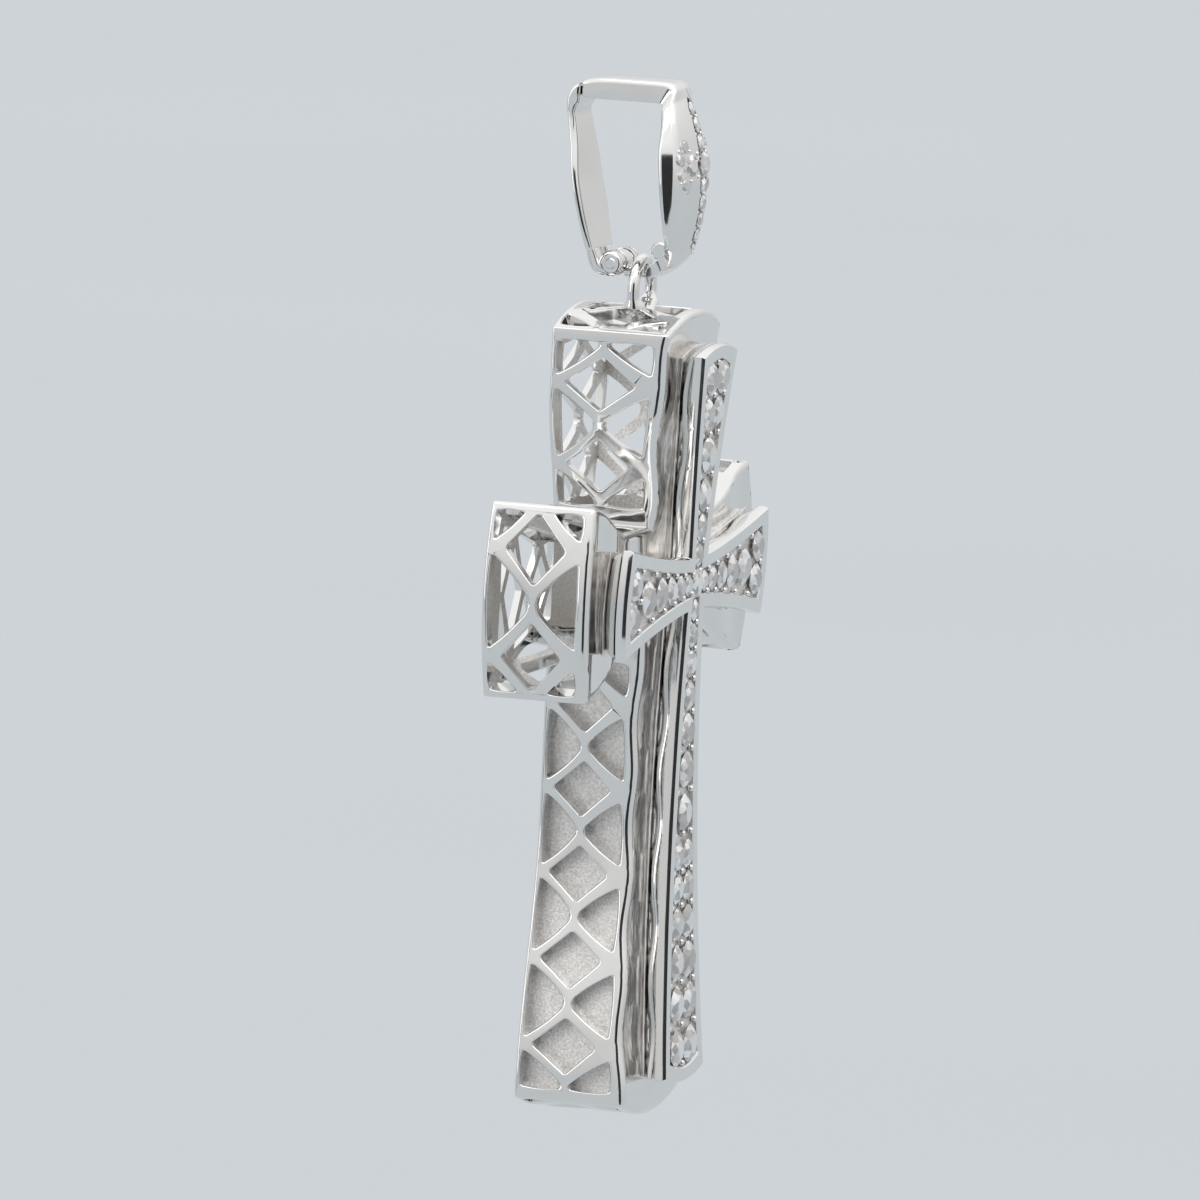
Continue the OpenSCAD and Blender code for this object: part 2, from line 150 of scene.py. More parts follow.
def soft_panel(name, place, width, height, power):
    data = bpy.data.lights.new(name, "AREA")
    data.shape = "RECTANGLE"
    data.size, data.size_y = width, height
    data.energy = power
    panel = bpy.data.objects.new(name, data)
    panel.matrix_world = aimed_at_pendant(place)
    panel.visible_camera = panel.visible_diffuse = False
    bpy.context.scene.collection.objects.link(panel)


def dark_card(name, place, width, height):
    card = flat_sheet(name, width, height, card_black)
    card.matrix_world = aimed_at_pendant(place)
    card.visible_camera = card.visible_diffuse = card.visible_shadow = False


card_black, nodes, links = new_material("card_black")
nodes["Principled BSDF"].inputs["Base Color"].default_value = (0.02, 0.02, 0.022, 1)
nodes["Principled BSDF"].inputs["Roughness"].default_value = 0.9
soft_panel("panel_over", (-0.25, -0.15, 0.75), 0.8, 0.8, 3)
soft_panel("panel_left", (-0.75, 0.65, 0.25), 0.3, 0.8, 1.2)
dark_card("card_camera", (-0.57, -0.19, -0.05), 0.36, 0.56)
dark_card("card_back", (-0.51, 0.31, 0.05), 0.08, 0.42)


# The gallery box is a hollow cast cross, 47 mm tall, pierced all round with woven ribs. Its two
# side arms and top arm are open inside, its bottom arm has blind pockets with sandy floors, and
# its front is a rippled sheet. It is cast in one piece, polished outside and left raw inside.
def white_gold(name, mottle, darker, lighter, bump_strength, bump_deep):
    """A finish of the metal: two tones mottled by one noise and a bump of the given depth."""
    finish, nodes, links = new_material(name)
    shader = nodes["Principled BSDF"]
    shader.inputs["Metallic"].default_value = 1
    links.new(blended(nodes, links, noise(nodes, links, *mottle), darker, lighter),
              shader.inputs["Base Color"])
    bump = nodes.new("ShaderNodeBump")
    bump.inputs["Strength"].default_value = bump_strength
    bump.inputs["Distance"].default_value = bump_deep
    links.new(bump.outputs["Normal"], shader.inputs["Normal"])
    return finish, nodes, links, shader, bump.inputs["Height"]


rhodium, nodes, links, shader, wheel_marks = white_gold(
    "rhodium_polish", (3*mm,), (0.77, 0.765, 0.75), (0.81, 0.805, 0.795), 0.25, 0.02*mm)
links.new(noise(nodes, links, 1.2*mm, 1), wheel_marks)
links.new(spread(nodes, links, noise(nodes, links, 0.5*mm, 4), 0.05, 0.14), shader.inputs["Roughness"])

cast_skin, nodes, links, shader, grains = white_gold(
    "sandy_cast_skin", (0.13*mm, 4), (0.6, 0.57, 0.54), (0.95, 0.935, 0.915), 1, 0.03*mm)
links.new(noise(nodes, links, 0.09*mm, 3), grains)
shader.inputs["Roughness"].default_value = 0.42

# The seat under the diamond cross is left as cast, with upright bump streaks in its skin. The upright light
# and dark streaks in its colour are painted reflections.
seat_skin_painted_reflections, nodes, links, shader, streaks = white_gold(
    "streaky_cast_seat", (0.9*mm, 2, (5, 5, 1)), (0.6, 0.57, 0.54), (0.94, 0.92, 0.895), 0.7, 0.04*mm)
links.new(noise(nodes, links, 0.6*mm, 2, (4, 4, 0.8)), streaks)
shader.inputs["Roughness"].default_value = 0.3

# From here on the pieces are built in millimetres, and each goes over to metres when finished.
# An arm is half root wide at the crossing and half tip wide at its arched end. Between the two
# it flares, as a power of the distance or, where the power is 0, in an easy S.
Arm = namedtuple("Arm", "reach root tip flare_from flare_to power arch")
box_low, box_high = (corner/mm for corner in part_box("gallery_box"))
tip_arch, box_root = 1.1, 3.4
side_arm = Arm(box_high.x - tip_arch, box_root, 5.65, 7.5, 15, 0, tip_arch)
bottom_arm = Arm(30.1, box_root, 5.7, 14, 29.5, 0, tip_arch)
top_arm = Arm(14.8, box_root, 5.3, 3, 11, 0, tip_arch)
box_arms = [top_arm, side_arm, bottom_arm, side_arm]
hollow_arms = (0, 1, 3)
cross_z = box_low.z + bottom_arm.reach + tip_arch
back_y = box_high.y
front_y, front_bow_z, upright_bow_r, level_bow_r = -2.4, -9.9, 210, 330
ripple, ripple_length, first_crest = 0.1, 6.05, 4.95
front_blend = 5
side_wall, tip_wall, front_wall, back_wall = 0.75, 0.62, 0.55, 0.42
rib = 0.6
pocket_deep, tip_pocket_deep, back_recess = 1.0, 0.75, 0.25
frame_front, frame_back, frame_tip, frame_side = 0.85, 0.36, 0.68, 0.45
mesh_step = 0.3
rounding_width = 0.38


def ease(t):
    """Goes from 0 to 1 with the share t, slowly at both ends."""
    t = min(max(t, 0), 1)
    return t*t*(3 - 2*t)


def half_width(arm, d):
    """Half the width of an arm at the distance d out from the crossing."""
    t = min(max((d - arm.flare_from)/(arm.flare_to - arm.flare_from), 0), 1)
    return arm.root + (arm.tip - arm.root)*(t**arm.power if arm.power else ease(t))


def turned(k, across, along):
    """Point of arm k, counted clockwise from the top as the front is seen, as (x, z)."""
    return ((across, along), (along, -across), (-across, -along), (-along, across))[k]


def swell(d):
    """The ripple along an arm, from -1 in a trough to 1 on a crest."""
    return -math.cos(math.tau*(abs(d) - first_crest)/ripple_length)


def box_front(x, z, height=ripple):
    """Where the box's front stands. It is bowed along the upright and along the side arms, and
    ripples run across each, so the two shapes blend where the arms meet."""
    upright = front_y - (z - front_bow_z)**2/(2*upright_bow_r)
    level = front_y - front_bow_z**2/(2*upright_bow_r) - x*x/(2*level_bow_r)
    share = ease((abs(x) - abs(z))/front_blend + 0.5)
    return upright + (level - upright)*share + height*(swell(z) + (swell(x) - swell(z))*share)


def crossing(arm, other, inset):
    """How far out along an arm its edge meets the next arm's edge, both moved in by inset."""
    across = along = arm.root
    rounds_to_settle = 12
    for _ in range(rounds_to_settle):
        across, along = half_width(arm, along) - inset, half_width(other, across) - inset
    return along


def even(low, high, step=mesh_step):
    """Evenly spaced numbers from low to high, about a step apart."""
    n = max(2, round((high - low)/step))
    return [low + (high - low)*i/n for i in range(n + 1)]


def cross_ring(arms, inset=0.0, wave=0.0):
    """Outline of a cross as (x, z) points, moved in by inset and by a wave along its edges.
    The number of points doesn't depend on the inset, so two outlines join point to point."""
    ring = []
    for k, arm in enumerate(arms):
        reach = arm.reach - inset
        flanks = {}
        for side, other in ((1, arms[(k + 1) % 4]), (-1, arms[k - 1])):
            start = crossing(arm, other, inset)
            shares = even(0, 1, mesh_step/(arm.reach - arm.root))
            ds = [start + (reach - start)*t for t in shares]
            flanks[side] = [(side*(half_width(arm, d) - inset - wave*(1 + swell(d))/2), d) for d in ds]
        ring += [turned(k, a, d) for a, d in flanks[-1][:-1]]
        for s in even(-1, 1, mesh_step/arm.tip):
            edge = (half_width(arm, reach) - inset - wave*(1 + swell(reach))/2)*s
            ring.append(turned(k, edge, reach + arm.arch*(1 - s*s)))
        ring += [turned(k, a, d) for a, d in flanks[1][-2:0:-1]]
    return ring


def rounded(corners, cuts, bulge=0.0):
    """Closed outline with its corners cut back and rounded, and its edges bowed outwards."""
    most_cut, wide_cut = 0.45, 0.25
    count = len(corners)
    middle = sum(corners, Vector((0, 0)))/count
    loop = []
    for i in range(count):
        here, there = corners[i], corners[(i + 1) % count]
        prior, later = corners[i - 1], corners[(i + 2) % count]
        edge, next_edge = there - here, later - there
        cut0 = min(cuts[i], most_cut*edge.length, most_cut*(here - prior).length)
        cut1 = min(cuts[(i + 1) % count], most_cut*edge.length, most_cut*next_edge.length)
        start = here + edge.normalized()*cut0
        end = there - edge.normalized()*cut1
        turn_end = there + next_edge.normalized()*cut1
        out = Vector((edge.y, -edge.x)).normalized()
        if out.dot((here + there)/2 - middle) < 0:
            out = -out
        bow = bulge*min(1, edge.length/2)
        for t in even(0, 1, mesh_step/(end - start).length)[:-1]:
            loop.append(start.lerp(end, t) + out*bow*4*t*(1 - t))
        bends = 5 if cut1 > wide_cut else 3
        for j in range(bends):
            t = j/bends
            loop.append(end.lerp(there, t).lerp(there.lerp(turn_end, t), t))
    return loop


def clipped(corners, low, high):
    """Part of a polygon between two levels of its second coordinate."""
    for level, sign in ((low, 1), (high, -1)):
        kept = []
        for i, here in enumerate(corners):
            prior = corners[i - 1]
            a, b = sign*(prior.y - level), sign*(here.y - level)
            if (a > 0) != (b > 0):
                kept.append(prior.lerp(here, a/(a - b)))
            if b > 0:
                kept.append(here)
        corners = kept
    return corners


knot_share, least_stem, d_gap = 0.17, 0.15, 0.5
lozenge_cuts, d_knot_cut, d_corner_cut, d_bulge = (0.14, 0.3, 0.14, 0.3), 0.5, 0.16, 0.08
flank_wide, tip_wide = 0.76, 0.7


def lattice(v0, v1, count, pitch, low, high, lean=0.0, wide=flank_wide):
    """Windows of one wall, as outlines of (across, along) points. Two ribs weave from side to
    side and meet in knots: a lozenge stands between knots and a D lies on each side of one."""
    knot = knot_share*pitch
    windows = []

    def place(v, share):
        v_in = min(max(v, v0), v1)
        return Vector(((low(v_in) + high(v_in))/2 + share*(high(v_in) - low(v_in))/2, v))

    for k in range(count):
        c = (v0 + v1)/2 + (k - (count - 1)/2)*pitch
        windows.append(rounded([place(c - pitch/2 + knot, lean/2), place(c, wide + lean),
                                place(c + pitch/2 - knot, lean/2), place(c, lean - wide)],
                               lozenge_cuts))
    for k in range(count + 1):
        v = (v0 + v1)/2 + (k - count/2)*pitch
        half = (high(min(max(v, v0), v1)) - low(min(max(v, v0), v1)))/2
        for s in (-1, 1):
            run = Vector(((wide + s*lean/2)*half, pitch/2 - knot))
            slope = run.y/run.x
            rise = knot - rib*run.length/run.x
            near = rib/2/half
            stem = max(rise + slope*rib/2, least_stem)
            top = min(rise + slope*half, pitch/2 - d_gap + 0.12*s)
            corners = clipped([place(v - stem, s*near + lean/2), place(v - top, s),
                               place(v + top, s), place(v + stem, s*near + lean/2)], v0, v1)
            if len(corners) > 2:
                at_knot = [abs(p.x - place(p.y, 0).x) < rib for p in corners]
                cuts = [d_knot_cut if here else d_corner_cut for here in at_knot]
                windows.append(rounded(corners, cuts, d_bulge))
    return windows


weld_distance, sliver, sharp_angle = 2e-3, 1e-4, 0.6


class Shell:
    """Closed skin in millimetres, put together from sheets that are welded where they meet."""

    def __init__(self):
        self.mesh = bmesh.new()
        self.mesh.edges.layers.float.new("bevel_weight_edge")

    def face(self, points, finish=0):
        made = self.mesh.faces.new([self.mesh.verts.new(p) for p in points])
        made.material_index = finish
        made.smooth = True

    def sheet(self, loops, place, finish=0, loose=()):
        """Fills the first loop, leaving the others open. Each point goes where place says."""
        points, rims = [], []
        for loop in loops:
            area = sum(a.x*b.y - b.x*a.y for a, b in zip(loop, loop[1:] + loop[:1]))
            rims.append([len(points) + i for i in range(len(loop))])
            points += loop if area > 0 else loop[::-1]
        out, _, faces, _, _, sources = delaunay_2d_cdt(points + list(loose), [], rims, 1, 1e-5)
        placed = [place(p) for p in out]
        for corners, source in zip(faces, sources):
            if source == [0]:
                self.face([placed[i] for i in corners], finish)

    def band(self, first, second, finish=0):
        """Joins two rings of as many points each."""
        for i in range(len(first)):
            j = (i + 1) % len(first)
            self.face([first[i], first[j], second[j], second[i]], finish)

    def loft(self, loops, finish=0, ends=True):
        """Joins ring after ring and closes the first and the last one."""
        for first, second in zip(loops, loops[1:]):
            self.band(first, second, finish)
        if ends:
            self.face(loops[0], finish)
            self.face(loops[-1], finish)

    def finished(self, name, finishes, weight_at=None, width=rounding_width, segments=3):
        """Welds the sheets, rounds the sharp edges by their weight and goes over to metres."""
        bmesh.ops.remove_doubles(self.mesh, verts=self.mesh.verts, dist=weld_distance)
        bmesh.ops.dissolve_degenerate(self.mesh, edges=self.mesh.edges, dist=sliver)
        bmesh.ops.recalc_face_normals(self.mesh, faces=self.mesh.faces)
        weights = self.mesh.edges.layers.float["bevel_weight_edge"]
        for edge in self.mesh.edges:
            if len(edge.link_faces) == 2 and edge.calc_face_angle() > sharp_angle:
                weight = weight_at(edge) if weight_at else 0
                edge[weights] = weight
                edge.smooth = weight > 0
        data = bpy.data.meshes.new(name)
        self.mesh.to_mesh(data)
        self.mesh.free()
        for finish in finishes:
            data.materials.append(finish)
        rough = bpy.data.objects.new(name, data)
        bpy.context.scene.collection.objects.link(rough)
        if weight_at:
            bevel = rough.modifiers.new("rounding", "BEVEL")
            bevel.limit_method = "WEIGHT"
            bevel.width = width
            bevel.segments = segments
            bevel.use_clamp_overlap = False
        rough.modifiers.new("shading", "WEIGHTED_NORMAL").keep_sharp = True
        return plain_object(rough, Matrix.Scale(mm, 4))


def plain_object(rough, change=None):
    """Swaps an object with modifiers for a plain one at the origin with the finished mesh."""
    name = rough.name
    depsgraph = bpy.context.evaluated_depsgraph_get()
    data = bpy.data.meshes.new_from_object(rough.evaluated_get(depsgraph), depsgraph=depsgraph)
    bpy.data.objects.remove(rough)
    if change:
        data.transform(change)
    made = bpy.data.objects.new(name, data)
    bpy.context.scene.collection.objects.link(made)
    return made


polished, raw, seat = 0, 1, 2
root_run, rim_run = 0.9, 2


def pressed(m, thick, frame_width):
    """Distance from an edge on the inner skin for distance m from it on the outer skin, so
    that the inner skin turns its corner a wall's thickness in and still leaves room for windows."""
    spare, least_share = 0.06, 0.05
    return max(m, thick + m*max((frame_width + spare - thick)/frame_width, least_share))


class BoxWall:
    """One pierced wall of the box, with points given as (y, u), where u runs along its edge."""

    def __init__(self, k, part):
        self.arm = arm = box_arms[k]
        self.k = k
        self.hollow = k in hollow_arms
        self.side = {"right": 1, "left": -1}.get(part, 0)
        other = box_arms[(k + self.side) % 4]
        corner, inner_corner = crossing(arm, other, 0), crossing(arm, other, side_wall)
        self.low, self.high = (corner, arm.reach) if self.side else (-arm.tip, arm.tip)
        self.corner_shift = corner - inner_corner
        self.us = even(self.low, self.high)
        self.inner_tip = half_width(arm, arm.reach - tip_wall) - side_wall

    def edge(self, u, depth=0.0, inner_tip=None):
        """The wall's place in the plane of the cross, depth below its outer skin."""
        if self.side:
            return turned(self.k, self.side*(half_width(self.arm, u) - depth), u)
        s = u/(inner_tip or self.arm.tip)
        return turned(self.k, u, self.arm.reach - depth + self.arm.arch*(1 - s*s))

    def front(self, u):
        return box_front(*self.edge(u))

    def outer(self, p, depth=0.0):
        x, z = self.edge(p.y, depth)
        return Vector((x, p.x, z + cross_z))

    def inner(self, p):
        """Place on the inner skin behind p. Near the wall's rims it is pressed inwards."""
        u = p.y
        to_tip = self.high - u
        if self.side:
            if u - self.low < root_run:
                u -= self.corner_shift*(1 - (u - self.low)/root_run)
            elif to_tip < rim_run:
                u = self.high - pressed(to_tip, tip_wall, frame_tip)
            x, z = self.edge(u, side_wall)
        else:
            corner = self.arm.tip - self.inner_tip
            m = self.arm.tip - abs(u)
            if m < rim_run:
                u = math.copysign(self.arm.tip - pressed(m, corner, frame_side), u)
            x, z = self.edge(u, tip_wall, self.inner_tip)
        to_front, to_back = p.x - self.front(p.y), back_y - p.x
        y = p.x
        if to_front < rim_run:
            y = box_front(x, z, 0) + pressed(to_front, front_wall, frame_front)
        elif to_back < rim_run:
            y = back_y - pressed(to_back, back_wall, frame_back)
        return Vector((x, y, z + cross_z))

    def build(self, shell, windows, blind_deep):
        outline = [Vector((self.front(u), u)) for u in self.us]
        outline += [Vector((back_y, u)) for u in self.us[::-1]]
        shell.sheet([outline] + windows, self.outer, polished)
        if self.hollow:
            shell.sheet([outline] + windows, self.inner, raw)
        for window in windows:
            if self.hollow:
                shell.band([self.outer(p) for p in window], [self.inner(p) for p in window], polished)
            else:
                shell.band([self.outer(p) for p in window],
                           [self.outer(p, blind_deep) for p in window], polished)
                shell.sheet([window], lambda p: self.outer(p, blind_deep), raw)


def to_plane(points):
    """The (x, z) places of points, measured from the crossing."""
    return [Vector((p.x, p.z - cross_z)) for p in points]


box = Shell()
wall_parts = ("left", "tip", "right")
walls = {(k, part): BoxWall(k, part) for k in range(4) for part in wall_parts}
flank_windows = [  # for each arm: start of its windows, lozenges in a row, pitch, lean
    (4.45, 2, 4.83, 0.06), (4.3, 2, 5.1, 0.0), (4.7, 5, 4.94, 0.06), (4.3, 2, 5.1, 0.0)]
for (k, part), wall in walls.items():
    arm = box_arms[k]
    v0, count, pitch, lean = flank_windows[k]
    row, wide, deep = (v0, arm.reach - frame_tip, count, pitch), flank_wide, pocket_deep
    if part == "tip":
        row = (frame_side - arm.tip, arm.tip - frame_side, 2, 1.1*arm.tip)
        wide, deep, lean = tip_wide, tip_pocket_deep, 0.0
    openwork = lattice(*row, lambda v: wall.front(v) + frame_front, lambda v: back_y - frame_back,
                       lean, wide)
    wall.build(box, openwork, deep)

# The back of the box has the same windows, open in its hollow arms and blind in its bottom arm.
outer_rim = [Vector(p) for p in cross_ring(box_arms)]
frame_clear = 0.4
back_windows, recesses = [], []
for k, arm in enumerate(box_arms):
    v0, count, pitch, _ = flank_windows[k]
    edge_frame = side_wall + frame_clear if k in hollow_arms else side_wall
    panel = lattice(v0, arm.reach - max(frame_tip, edge_frame - 0.1), count, pitch,
                    lambda v: edge_frame - half_width(arm, v), lambda v: half_width(arm, v) - edge_frame)
    placed = [[Vector(turned(k, p.x, p.y)) for p in window] for window in panel]
    if k in hollow_arms:
        back_windows += placed
    else:
        recesses += placed


def at_back(depth):
    """Puts a point of the cross's plane at the back of the box, depth below its skin."""
    return lambda p: Vector((p.x, back_y - depth, p.y + cross_z))


box.sheet([outer_rim] + back_windows + recesses, at_back(0), polished)
for recess in recesses:
    box.band([at_back(0)(p) for p in recess], [at_back(back_recess)(p) for p in recess], polished)
    box.sheet([recess], at_back(back_recess), raw)
for window in back_windows:
    box.band([at_back(0)(p) for p in window], [at_back(back_wall)(p) for p in window], polished)


def inside_cross(arms, p, margin, tip_margin=None):
    """Whether a place lies inside a cross and clear of its edges by a margin."""
    tip_margin = margin if tip_margin is None else tip_margin
    for arm, across, along in ((arms[0] if p.y > 0 else arms[2], p.x, p.y), (arms[1], p.y, p.x)):
        s = across/arm.tip
        if abs(across) < half_width(arm, abs(along)) - margin:
            if abs(along) < arm.reach + max(arm.arch*(1 - s*s), 0) - tip_margin:
                return True
    return False


def grid_inside(arms, margin, step):
    """Loose points inside a cross, which let a sheet over it bend."""
    reach = max(arm.reach for arm in arms)
    places = (Vector((x, z)) for x in even(-reach, reach, step) for z in even(-reach, reach, step))
    return [p for p in places if inside_cross(arms, p, margin)]


# Its front is one rippled sheet, and the hollow behind stops at the root of the bottom arm.
def at_front(depth=0.0, height=ripple):
    """Puts a point of the cross's plane on the box's front or depth below it."""
    return lambda p: Vector((p.x, box_front(p.x, p.y, height) + depth, p.y + cross_z))


box.sheet([outer_rim], at_front(), polished, grid_inside(box_arms, margin=0.3, step=0.5))
inner_front, inner_back = [], []
for k in (3, 0, 1):
    for part in wall_parts:
        wall = walls[k, part]
        us = wall.us[::-1] if part == "right" else wall.us
        joined = 1 if inner_front else 0
        inner_front += [wall.inner(Vector((wall.front(u), u))) for u in us][joined:]
        inner_back += [wall.inner(Vector((back_y, u))) for u in us][joined:]
box.sheet([to_plane(inner_front)], at_front(front_wall, 0), raw)
box.sheet([to_plane(inner_back)] + back_windows, at_back(back_wall), raw)
box.face([inner_front[0], inner_front[-1], inner_back[-1], inner_back[0]], raw)

# A stepped seat on the front carries the diamond cross, and its sides are left as cast.
gem_arms = [Arm(13.5, 1.55, 3.3, 0, 13.5, 1.25, 0.5), Arm(13.45, 1.55, 3.2, 0, 13.45, 1.5, 0.5),
            Arm(28.7, 1.55, 3.75, 0, 28.7, 1.15, 0.5), Arm(13.45, 1.55, 3.2, 0, 13.45, 1.5, 0.5)]
gem_front_y, gem_bow_z, gem_bow_r = -4.52, -8.5, 270
plate_back, seat_gap, seat_sunk, seat_sway = 1.35, 0.03, 0.3, 0.2
seat_profile = [  # inset, share of the way back into the box's front, wave inwards
    (0.15, 0, 0), (0.1, 0.06, 0), (0.24, 0.18, 0.04), (0.1, 0.27, 0.1), (0.26, 0.38, 0.02),
    (0.14, 0.5, 0.12), (0.2, 0.62, 0), (0.15, 1, 0)]


def gem_front(z):
    """Where the diamond cross's front stands. It is bowed along the upright."""
    return gem_front_y - (z - gem_bow_z)**2/(2*gem_bow_r)


def seat_ring(inset, share, wave):
    """Ring of the seat, from the diamond cross at share 0 back into the box's front at 1."""
    ring = []
    for x, z in cross_ring(gem_arms, inset, wave):
        y0, y1 = gem_front(z) + plate_back + seat_gap, box_front(x, z, 0) + seat_sunk
        along = share + seat_sway*share*(1 - share)*swell(max(abs(x), abs(z)))
        ring.append(Vector((x, y0 + (y1 - y0)*along, z + cross_z)))
    return ring


seat_rings = [seat_ring(*row) for row in seat_profile]
box.loft(seat_rings, seat, ends=False)
box.sheet([to_plane(seat_rings[0])],
          lambda p: Vector((p.x, gem_front(p.y) + plate_back + seat_gap, p.y + cross_z)), seat)
box.sheet([to_plane(seat_rings[-1])], at_front(seat_sunk, 0), seat)

# The hang ring is a loop of round wire, soldered upright on the top arm's tip.
ring_radius, wire_r, ring_y, ring_z = 1.72, 0.35, -0.4, -10.94
solder_thick, solder_high = 0.3, 0.6
top_z = cross_z + top_arm.reach + top_arm.arch


def turns(sides):
    return [math.tau*i/sides for i in range(sides)]


ring_sections = []
for a in turns(64):
    hub = Vector((math.sin(a), 0, math.cos(a)))
    centre = Vector((0, ring_y, ring_z)) + hub*ring_radius
    r = wire_r + solder_thick*ease(1 - (centre.z - top_z)/solder_high)
    ring_sections.append([centre + hub*r*math.cos(b) + Vector((0, r*math.sin(b), 0)) for b in turns(20)])
box.loft(ring_sections + ring_sections[:1], polished, ends=False)


def box_rounding(edge):
    """How far an edge of the box is rounded: most along its front, least round its windows."""
    back_rim, back_window, side_window, more_behind = 0.4, 0.15, 0.18, 0.28
    if {f.material_index for f in edge.link_faces} != {polished}:
        return 0
    a, b = edge.verts
    x, y, z = (a.co + b.co)/2 - Vector((0, 0, cross_z))
    on_outline = not inside_cross(box_arms, Vector((x, z)), margin=0.05, tip_margin=0.01)
    if y > back_y - 1e-3:
        return back_rim if on_outline else back_window
    if abs(y - box_front(x, z)) < 0.03:
        return 1
    faces_back = max(0, max(f.normal.y for f in edge.link_faces))
    return side_window + more_behind*faces_back


gallery = box.finished("openwork_box", [rhodium, cast_skin, seat_skin_painted_reflections], box_rounding)
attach(gallery, "pendant")
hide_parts("gallery_box")


# The diamond cross is a second casting that sits on the box's front. It is a bevelled plate on
# a wavy edge, with a sunk field for the stones inside a polished rim.
rim_width, field_deep = 0.85, 0.34
plate_rounding, plate_sharp_angle = 0.2, 1
plate_profile = [  # inset, depth, wave inwards, wave in depth
    (rim_width + 0.05, field_deep, 0, 0), (rim_width + 0.02, 0.07, 0, 0), (rim_width - 0.05, 0, 0, 0),
    (0.09, 0, 0, 0), (0, 0.23, 0, 0), (0, 0.64, 0, 0.03), (0.05, 0.68, 0, 0.05),
    (0.22, 0.7, 0, 0.08), (0.22, 0.74, 0, 0.1),
    (0.1, 0.77, 0.2, 0.1), (0.0, 0.83, 0.2, 0.1), (0.045, 1.02, 0.2, 0.1), (0.13, 1.13, 0.2, 0.08),
    (0.25, 1.21, 0.2, 0.03), (0.45, plate_back, 0, 0)]


def plate_ring(inset, depth, wave, lift):
    return [Vector((x, gem_front(z) + depth - lift*swell(max(abs(x), abs(z))), z + cross_z))
            for x, z in cross_ring(gem_arms, inset, wave)]


plate = Shell()
plate_rings = [plate_ring(*row) for row in plate_profile]
plate.loft(plate_rings[:2], raw, ends=False)
plate.loft(plate_rings[1:], polished, ends=False)
for ring, depth, finish in ((plate_rings[0], field_deep, raw), (plate_rings[-1], plate_back, polished)):
    plate.sheet([to_plane(ring)], lambda p: Vector((p.x, gem_front(p.y) + depth, p.y + cross_z)), finish,
                grid_inside(gem_arms, margin=rim_width + 0.4, step=0.8))
cross_plate = plate.finished(
    "diamond_cross_plate", [rhodium, cast_skin],
    lambda edge: plate_rounding if edge.calc_face_angle() > plate_sharp_angle else 0, width=0.1, segments=2)


# Each stone is a round brilliant, bead set: four small beads raised out of the metal hold it
# down. The stones grow from the crossing to the tips, where they stand two abreast.
def brilliant():
    """Round brilliant of radius 1, with its girdle at the origin and its table up +Z."""
    table_r, table_z, bezel_r, bezel_z = 0.56, 0.31, 0.8, 0.17
    girdle_z, pavilion_r, pavilion_z, culet_z = 0.03, 0.42, -0.5, -0.86

    def round_of(n, r, z, offset=0.0):
        angles = [math.tau*(i + offset)/n for i in range(n)]
        return [(r*math.cos(a), r*math.sin(a), z) for a in angles]

    table, bezel = round_of(8, table_r, table_z), round_of(8, bezel_r, bezel_z, 0.5)
    upper, lower = round_of(16, 1, girdle_z), round_of(16, 1, -girdle_z)
    pavilion = round_of(8, pavilion_r, pavilion_z, 0.5)
    points = table + bezel + upper + lower + pavilion + [(0, 0, culet_z)]
    t, b, u, low, p, culet = 0, 8, 16, 32, 48, 56
    faces = [tuple(range(8))]
    for i in range(8):
        j, h = (i + 1) % 8, (i - 1) % 8
        g0, g1, g2 = 2*i, 2*i + 1, (2*i + 2) % 16
        faces += [(t + i, b + i, t + j), (t + i, b + h, u + g0, b + i),
                  (b + i, u + g0, u + g1), (b + i, u + g1, u + g2),
                  (u + g0, low + g0, low + g1, u + g1), (u + g1, low + g1, low + g2, u + g2),
                  (low + g0, p + i, low + g1), (low + g1, p + i, low + g2),
                  (low + g0, p + h, culet, p + i)]
    mesh = bpy.data.meshes.new("brilliant")
    mesh.from_pydata(points, [], faces)
    turn_outwards(mesh)
    return bpy.data.objects.new("brilliant", mesh)


def turn_outwards(mesh):
    work = bmesh.new()
    work.from_mesh(mesh)
    bmesh.ops.recalc_face_normals(work, faces=work.faces)
    work.to_mesh(mesh)
    work.free()


def bead():
    """Bead of radius 1 raised by a round punch, standing on the metal at the origin."""
    rings = [(1, -0.6), (1, 0.1), (0.85, 0.5), (0.45, 0.85)]  # radius, height
    points = [(r*math.cos(a), r*math.sin(a), z) for r, z in rings for a in turns(8)]
    faces = [(8*k + i, 8*k + (i + 1) % 8, 8*k + 8 + (i + 1) % 8, 8*k + 8 + i)
             for k in range(len(rings) - 1) for i in range(8)]
    faces += [tuple(range(8))[::-1], tuple(range(24, 32))]
    mesh = bpy.data.meshes.new("bead")
    mesh.from_pydata(points, [], faces)
    turn_outwards(mesh)
    mesh.shade_smooth()
    return bpy.data.objects.new("bead", mesh)


